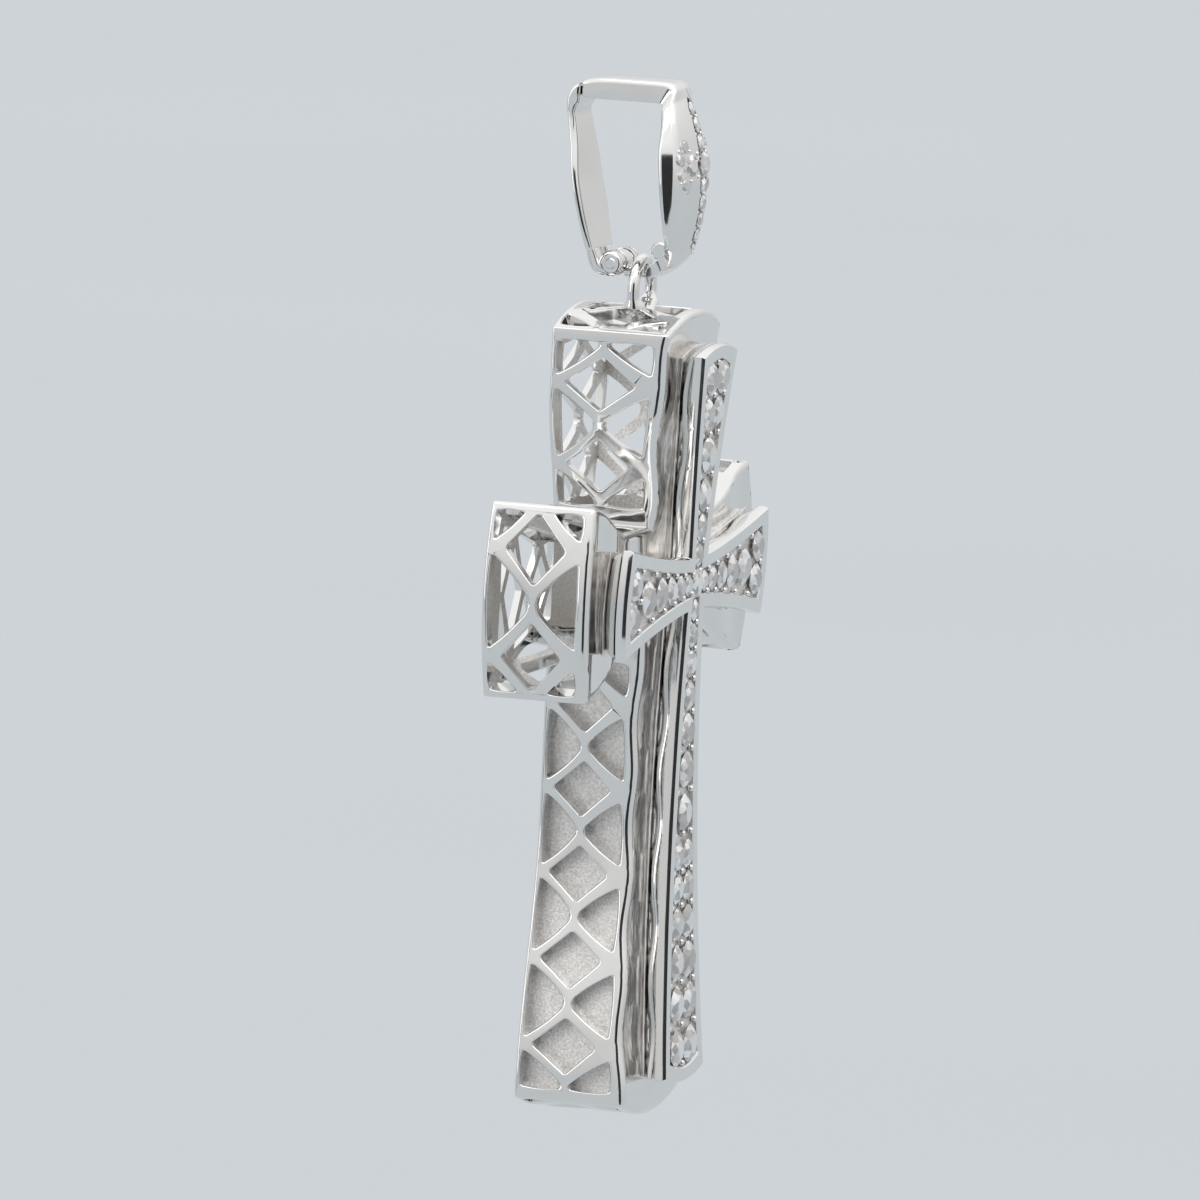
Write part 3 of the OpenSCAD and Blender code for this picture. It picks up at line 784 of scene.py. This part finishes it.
def setting_tree():
    """Geometry nodes that stand a piece on every point, sized and turned by its attributes, and
    give each of its faces a random value, which the diamond paints as a glint."""
    tree = bpy.data.node_groups.new("setting", "GeometryNodeTree")
    sockets = {}
    for label, kind, way in (("Places", "Geometry", "INPUT"), ("Piece", "Object", "INPUT"),
                             ("Finish", "Material", "INPUT"), ("Seed", "Int", "INPUT"),
                             ("Set", "Geometry", "OUTPUT")):
        sockets[label] = tree.interface.new_socket(
            name=label, in_out=way, socket_type="NodeSocket" + kind).identifier
    new = tree.nodes.new
    start, end = new("NodeGroupInput"), new("NodeGroupOutput")
    piece = new("GeometryNodeObjectInfo")
    piece.inputs["As Instance"].default_value = True
    facing, radius = new("GeometryNodeInputNamedAttribute"), new("GeometryNodeInputNamedAttribute")
    for given, kind, label in ((facing, "FLOAT_VECTOR", "facing"), (radius, "FLOAT", "radius")):
        given.data_type = kind
        given.inputs["Name"].default_value = label
    spin, spun = new("FunctionNodeRandomValue"), new("ShaderNodeCombineXYZ")
    spin.data_type = "FLOAT"
    spin.inputs[3].default_value = math.tau
    aim, turn = new("FunctionNodeAlignRotationToVector"), new("FunctionNodeRotateRotation")
    aim.axis = "Z"
    turn.rotation_space = "LOCAL"
    stand, real = new("GeometryNodeInstanceOnPoints"), new("GeometryNodeRealizeInstances")
    painted_glint, marked = new("FunctionNodeRandomValue"), new("GeometryNodeStoreNamedAttribute")
    painted_glint.data_type = marked.data_type = "FLOAT"
    marked.domain = "FACE"
    marked.inputs["Name"].default_value = "facet_painted_glint"
    finish = new("GeometryNodeSetMaterial")
    for source, output, target, socket in (
            (start, "Piece", piece, "Object"), (start, "Seed", spin, "Seed"), (spin, 1, spun, "Z"),
            (facing, "Attribute", aim, "Vector"), (aim, "Rotation", turn, "Rotation"),
            (spun, "Vector", turn, "Rotate By"), (start, "Places", stand, "Points"),
            (piece, "Geometry", stand, "Instance"), (turn, "Rotation", stand, "Rotation"),
            (radius, "Attribute", stand, "Scale"), (stand, "Instances", real, "Geometry"),
            (real, "Geometry", marked, "Geometry"), (start, "Seed", painted_glint, "Seed"),
            (painted_glint, 1, marked, "Value"), (marked, "Geometry", finish, "Geometry"),
            (start, "Finish", finish, "Material"), (finish, "Geometry", end, "Set")):
        tree.links.new(source.outputs[output], target.inputs[socket])
    return tree, sockets


setting, setting_sockets = setting_tree()


def set_pieces(name, places, piece, finish, seed):
    """Stands a piece on each place, given as (position, facing, radius) in millimetres."""
    data = bpy.data.meshes.new(name)
    data.from_pydata([place[0] for place in places], [], [])
    data.attributes.new("facing", "FLOAT_VECTOR", "POINT").data.foreach_set(
        "vector", [c for place in places for c in place[1]])
    data.attributes.new("radius", "FLOAT", "POINT").data.foreach_set(
        "value", [place[2] for place in places])
    rough = bpy.data.objects.new(name, data)
    bpy.context.scene.collection.objects.link(rough)
    modifier = rough.modifiers.new("setting", "NODES")
    modifier.node_group = setting
    modifier[setting_sockets["Piece"]] = piece
    modifier[setting_sockets["Finish"]] = finish
    modifier[setting_sockets["Seed"]] = seed
    return plain_object(rough, Matrix.Scale(mm, 4))


def joined_into(whole, part):
    """Adds the mesh of one finished object to another and lets the first go."""
    work = bmesh.new()
    work.from_mesh(whole.data)
    first = len(work.faces)
    work.from_mesh(part.data)
    work.faces.ensure_lookup_table()
    for face in work.faces[first:]:
        face.material_index = polished
    work.to_mesh(whole.data)
    work.free()
    bpy.data.objects.remove(part)


diamond, nodes, links = new_material("diamond")
shader = nodes["Principled BSDF"]
shader.inputs["Transmission Weight"].default_value = 1
shader.inputs["IOR"].default_value = 2.3
# Painted glints: each facet gets a random value, and the higher it is, the whiter and more mirror-like the
# facet, standing in for the sparkle of light in the stones.
facet = nodes.new("ShaderNodeAttribute")
facet.attribute_name = "facet_painted_glint"
painted_glint = facet.outputs["Fac"]
links.new(blended(nodes, links, painted_glint, (0.8, 0.775, 0.75), (1, 1, 1)), shader.inputs["Base Color"])
links.new(spread(nodes, links, painted_glint, 0.45, 0.95, start=0.3), shader.inputs["Metallic"])
links.new(spread(nodes, links, noise(nodes, links, 0.3*mm), 0.0, 0.03), shader.inputs["Roughness"])

girdle_deep, stone_gap, two_abreast = 0.12, 0.06, 1.6
single_share, single_most, pair_share, pair_most = 0.84, 1.1, 0.49, 1.12
bead_r, bead_deep = 0.2, 0.15


def stone_radius(arm, d):
    """Radius of the stones at d along an arm, and how far off the middle line they stand."""
    field = half_width(arm, d) - rim_width
    if field < two_abreast:
        return min(single_share*field, single_most), 0.0
    r = min(pair_share*field, pair_most)
    return r, r + 0.05 + 0.3*(field - 2*r)


def stones_along(arm, start):
    """Rows of stones from start to the tip, as (distance, radius, offset)."""
    rows = []
    d = start
    end = arm.reach + arm.arch*0.8 - rim_width
    while True:
        r, offset = stone_radius(arm, d)
        if d + r > end:
            break
        rows.append([d, r, offset])
        d += 2*r + stone_gap + 0.1*(half_width(arm, d + 2*r) - half_width(arm, d))
    drawn_out = (end - rows[-1][1] - start)/(rows[-1][0] - start)
    return [(start + (d - start)*drawn_out, r, offset) for d, r, offset in rows]


def on_field(k, across, along, deep):
    """A place in arm k of the diamond cross, deep below its rim."""
    x, z = turned(k, across, along)
    return Vector((x, gem_front(z) + deep, z + cross_z))


centre_r, first_stone_d, tilt_most = 0.86, 1.8, 0.05
front_facing = Vector((0, -1, 0))
stone_places, bead_places = [(on_field(0, 0, 0, girdle_deep), front_facing, centre_r)], []
tilts = random.Random(7)
for k, arm in enumerate(gem_arms):
    rows = stones_along(arm, centre_r + stone_radius(arm, first_stone_d)[0] + stone_gap)
    for d, r, offset in rows:
        for s in ((0,) if offset == 0 else (-1, 1)):
            tilt = Vector((tilts.uniform(-tilt_most, tilt_most), 0, tilts.uniform(-tilt_most, tilt_most)))
            stone_places.append((on_field(k, s*offset, d, girdle_deep), front_facing + tilt, r))
    last_d, last_r, _ = rows[-1]
    between_stones = [(a[0] + b[0])/2 for a, b in zip(rows, rows[1:])]
    for d in [centre_r*0.8] + between_stones + [last_d + last_r*0.9]:
        field = half_width(arm, d) - rim_width
        for s in (-1, 1) if field < two_abreast else (-1, 0, 1):
            bead_places.append((on_field(k, s*(field - bead_r*0.8), d, bead_deep), front_facing, bead_r))

brilliant_piece, bead_piece = brilliant(), bead()
brilliant_piece.data.materials.append(diamond)
bead_piece.data.materials.append(rhodium)
cross_stones = set_pieces("cross_stones", stone_places, brilliant_piece, diamond, 3)
cross_beads = set_pieces("cross_beads", bead_places, bead_piece, rhodium, 4)
joined_into(cross_plate, cross_beads)
for piece, node, slot in ((cross_plate, "diamond_cross", "polished_white_gold"),
                          (cross_stones, "cross_pave", "diamonds")):
    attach(piece, "pendant")
    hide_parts(node)


# The bail's front leaf is one casting with the strap over the top, the foot that carries the
# hang ring on a short bar, the middle knuckle of the hinge and the catch roll.
leaf_crest_r, leaf_axis = 12, Vector((0, 8.1, -4.9))
leaf_end_half, leaf_swelling, leaf_middle_z, leaf_reach = 1.5, 1.6, -4.6, 5.9
leaf_slope, leaf_ridge = 0.36, 0.8
row_half, row_top, row_foot, row_deep = 0.55, 0.85, -8.95, 0.3
no_row = 0.02  # the channel's half width where there is none


def leaf_half(z):
    away = min(abs(z - leaf_middle_z)/leaf_reach, 1)
    return leaf_end_half + leaf_swelling*max(math.cos(away*math.pi/2), 0)**0.9


def leaf_roof(x):
    """How far the leaf's low roof has dropped at x to the side of its rounded ridge."""
    return leaf_slope*(math.hypot(x, leaf_ridge) - leaf_ridge)


def crest_y(z):
    return leaf_axis.y - math.sqrt(leaf_crest_r**2 - (z - leaf_axis.z)**2)


def edge_lean(z):
    """How far the leaf's side walls lean in towards its front, away from its two ends."""
    return 0.2*ease((-0.4 - z)/2.4)*ease((z + 8.8)/2)


def channel_half(z):
    """Half the width of the channel for the row of stones, which runs to a point at both ends."""
    return max(min(row_half, 0.55*(row_top - z), 0.65*(z - row_foot)), no_row)


foot_stations = [  # outside y and z, inside y and z, half width
    (-1.0, -10.22, -1.0, -9.72, 1.4), (-1.6, -10.1, -1.3, -9.35, 1.45), (-2.15, -9.8, -1.75, -9.0, 1.5),
    (-2.6, -9.45, -2.05, -8.75, 1.7), (-2.98, -9.05, -2.2, -8.5, 2.0)]
strap_stations = [
    (-2.58, 0.65, -1.61, -0.22, 1.8), (-2.43, 0.95, -1.57, -0.09, 1.62), (-2.1, 1.15, -1.45, -0.01, 1.53),
    (-1.5, 1.25, -1.1, 0.0, 1.5), (0.0, 1.26, 0.0, 0.01, 1.5), (1.2, 1.26, 1.2, 0.01, 1.5),
    (2.2, 1.23, 2.2, 0.01, 1.5), (2.9, 1.13, 2.9, 0.05, 1.5), (3.34, 0.98, 3.34, 0.1, 1.5)]
leaf_stations = []
for z in even(-8.6, 0.3, 0.24):
    inner_z = z - 0.75*ease((z + 3.2)/3.4) + 0.35*ease((-7 - z)/2)
    leaf_stations.append((crest_y(z), z, max(-1.58 + 0.1*inner_z, -2.28), inner_z, leaf_half(z)))


def between(rows, steps=3):
    """Rows with smooth ones put in between, on a curve through them all."""
    out = []
    for i in range(len(rows) - 1):
        a, b, c, d = (rows[min(max(i + j, 0), len(rows) - 1)] for j in (-1, 0, 1, 2))
        for j in range(steps):
            t = j/steps
            out.append(tuple(0.5*(2*q + (r - p)*t + (2*p - 5*q + 4*r - s)*t*t + (3*q - p - 3*r + s)*t*t*t)
                             for p, q, r, s in zip(a, b, c, d)))
    return out + [rows[-1]]


def leaf_section(station, channel, dome):
    """Closed section of the leaf, from its left edge over the outside and back on the inside."""
    outer = Vector((0, station[0], station[1]))
    inner = Vector((0, station[2], station[3]))
    half = station[4]
    out = (outer - inner).normalized()
    section = []
    lean = edge_lean(station[1])
    wide = half - lean
    flank = [channel + 0.05 + (wide - channel - 0.05)*t for t in (1, 0.6, 0.3, 0.1, 0)]
    for x in [-x for x in flank] + [-channel, -channel/2, 0, channel/2, channel] + flank[::-1]:
        deep = row_deep if abs(x) < channel + 0.01 and channel > 1.5*no_row else 0
        section.append(outer + Vector((x, 0, 0)) - out*(leaf_roof(x)*dome + deep))
    for x in (half + lean, half/2, -half/2, -half - lean):
        section.append(inner + Vector((x, 0, 0)))
    return section


def knuckle(shell, y, z, x0, x1, r, cut=0.08, sides=40):
    """Round barrel along X with its end edges broken."""
    shell.loft([[Vector((x, y + q*math.cos(a), z + q*math.sin(a))) for a in turns(sides)]
                for x, q in ((x0, r - cut), (x0 + cut, r), (x1 - cut, r), (x1, r - cut))], polished)


leaf = Shell()
foot = between(foot_stations + leaf_stations[:1])[:-1]
sections = [leaf_section(s, no_row, 0.2 + 0.8*i/len(foot)) for i, s in enumerate(foot)]
sections += [leaf_section(s, channel_half(s[1]), 1) for s in leaf_stations]
strap = between([leaf_stations[-1]] + strap_stations)[1:]
sections += [leaf_section(s, channel_half(s[1]), max(1 - i/9, 0)) for i, s in enumerate(strap)]
leaf.loft(sections, polished)
hinge_y, hinge_z, knuckle_r, pin_r = 1.07, -9.45, 0.7, 0.28
knuckle(leaf, hinge_y, hinge_z, -0.6, 0.6, knuckle_r)
roll_y, roll_z, roll_r = -1.78, -8.55, 0.52
knuckle(leaf, roll_y, roll_z, -1.5, 1.5, roll_r)
bar_r, bar_z = 0.35, -9.94
leaf.loft([[Vector((bar_r*math.cos(a), y, bar_z + bar_r*math.sin(a))) for a in turns(24)]
           for y in (-1.25, -0.4, 0.65)], polished)


def leaf_rounding(edge):
    """The leaf's outline is well rounded, and the edges of its stone channel hardly at all."""
    strap_end_y, near_outline = 3.3, 0.27
    away = min(abs(abs(v.co.x) - leaf_half(v.co.z)) for v in edge.verts)
    if max(v.co.y for v in edge.verts) > strap_end_y:
        return 0.25
    return 1 if away < near_outline else 0.1


front_leaf = leaf.finished("bail_front_leaf", [rhodium], leaf_rounding, width=0.3)


# The bail's stones are bead set too. A large one on the ridge has a star of smaller ones round
# it, and a row of stones that get smaller runs up and down the channel from there.
def on_leaf(x, z, deep):
    """A place on the domed front leaf and the way it faces."""
    up = (z - leaf_axis.z)/leaf_crest_r
    radial = Vector((0, -math.sqrt(1 - up*up), up))
    place = leaf_axis + radial*(leaf_crest_r - leaf_roof(x) - deep)
    return Vector((x, place.y, place.z)), radial + Vector((leaf_slope*x/math.hypot(x, leaf_ridge), 0, 0))


star_z, star_r, side_r, row_r, smaller_by, leaf_gap = -3.45, 0.74, 0.66, 0.5, 0.2, 0.02
star_stones = [(2.42, 0.46, 0.42), (1.98, 1.18, 0.46)]  # x and z from the large stone, radius
star_beads = [(0.8, 0.68, 0.15), (1.52, 0.88, 0.13), (2.5, 0.98, 0.12)]
star_deep, side_deep, row_girdle_deep, row_bead_deep, row_bead_r = 0.03, 0.04, 0.08, 0.1, 0.12
leaf_stones, leaf_beads = [(*on_leaf(0, star_z, 0), star_r)], []
for x in (-1, 1):
    leaf_stones.append((*on_leaf(x*(star_r + side_r + leaf_gap), star_z, side_deep), side_r))
    for z in (-1, 1):
        leaf_stones += [(*on_leaf(x*a, star_z + z*b, star_deep), r) for a, b, r in star_stones]
        leaf_beads += [(*on_leaf(x*a, star_z + z*b, star_deep), r) for a, b, r in star_beads]
for way, count in ((1, 4), (-1, 5)):
    z = star_z + way*(star_r + row_r + leaf_gap)
    for i in range(count):
        r = row_r - smaller_by*(i/(count - 1))**2
        leaf_stones.append((*on_leaf(0, z, row_girdle_deep), r))
        for x in (-1, 1):
            bead_place = on_leaf(x*(row_half - 0.05), z + way*(r + leaf_gap), row_bead_deep)
            leaf_beads.append((*bead_place, row_bead_r))
        z += way*(2*r + leaf_gap/2)
bail_stones = set_pieces("bail_stones", leaf_stones, brilliant_piece, diamond, 5)
joined_into(front_leaf, set_pieces("bail_beads", leaf_beads, bead_piece, rhodium, 6))
for piece, node, slot in ((front_leaf, "bail_front", "polished_white_gold"),
                          (bail_stones, "bail_pave", "diamonds")):
    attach(piece, "bail")
    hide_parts(node)


# The back leaf is a thin polished strip that swings open for the chain. It snaps shut against
# the strap's end and turns on the two outer knuckles of the hinge.
back_end_half, back_swelling, back_middle_z, back_reach, back_dome_r = 1.7, 0.9, -5.6, 4.6, 25
back_stations = [  # outside y and z, inside y and z
    (3.41, 0.86, 3.41, 0.06), (3.66, 0.82, 3.42, -0.12), (3.98, 0.55, 3.47, -0.35),
    (4.2, 0.1, 3.6, -0.55), (4.24, -0.4, 3.66, -0.9), (4.08, -1.5, 3.5, -1.6),
    (3.82, -2.8, 3.25, -2.9), (3.6, -4.4, 3.03, -4.5), (3.28, -5.95, 2.7, -6.05),
    (2.93, -7.5, 2.36, -7.6), (2.63, -8.7, 2.05, -8.8)]
knuckle_tail = [(2.1, -8.6), (2.64, -8.6), (2.4, -9.5), (2.15, -9.95), (1.6, -10.16), (1.07, -10.15),
                (1.3, -9.9), (1.75, -9.5)]


def back_half(z):
    away = min(abs(z - back_middle_z)/back_reach, 1)
    return back_end_half + back_swelling*math.cos(away*math.pi/2)**1.3


def back_section(station):
    """Closed section of the strip, domed outside, with sides that lean in towards its inside."""
    outer, inner = Vector((0, station[0], station[1])), Vector((0, station[2], station[3]))
    out = (outer - inner).normalized()
    half = back_half(station[1])
    lean = 0.14*ease((-1 - station[1])/1.5)*ease((station[1] + 8.7)/1.5)
    section = [outer + Vector((x, 0, 0)) - out*(x*x/(2*back_dome_r))
               for x in (-half, -half*0.6, 0, half*0.6, half)]
    return section + [inner + Vector((x, 0, 0)) for x in (half - lean, 0, lean - half)]


back = Shell()
back.loft([back_section(s) for s in between(back_stations, 4)], polished)
for x0, x1 in ((-1.75, -0.63), (0.63, 1.75)):
    knuckle(back, hinge_y, hinge_z, x0, x1, knuckle_r)
    back.loft([[Vector((x, y, z)) for y, z in knuckle_tail] for x in (x0, x1)], polished)
back_leaf = back.finished("bail_back_leaf", [rhodium], lambda edge: 0.9, width=0.19)
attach(back_leaf, "back_leaf")
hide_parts("bail_back")


# The hinge pin is a short wire of the same white gold, pushed through the three knuckles. Its
# ends stand just proud of the outer two.
pin = Shell()
knuckle(pin, hinge_y, hinge_z, -1.79, 1.79, pin_r + 0.06, cut=0.06, sides=24)
hinge_pin = pin.finished("bail_hinge_pin", [rhodium])
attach(hinge_pin, "back_leaf")
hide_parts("hinge_pin")

for template in (brilliant_piece, bead_piece):
    bpy.data.objects.remove(template)
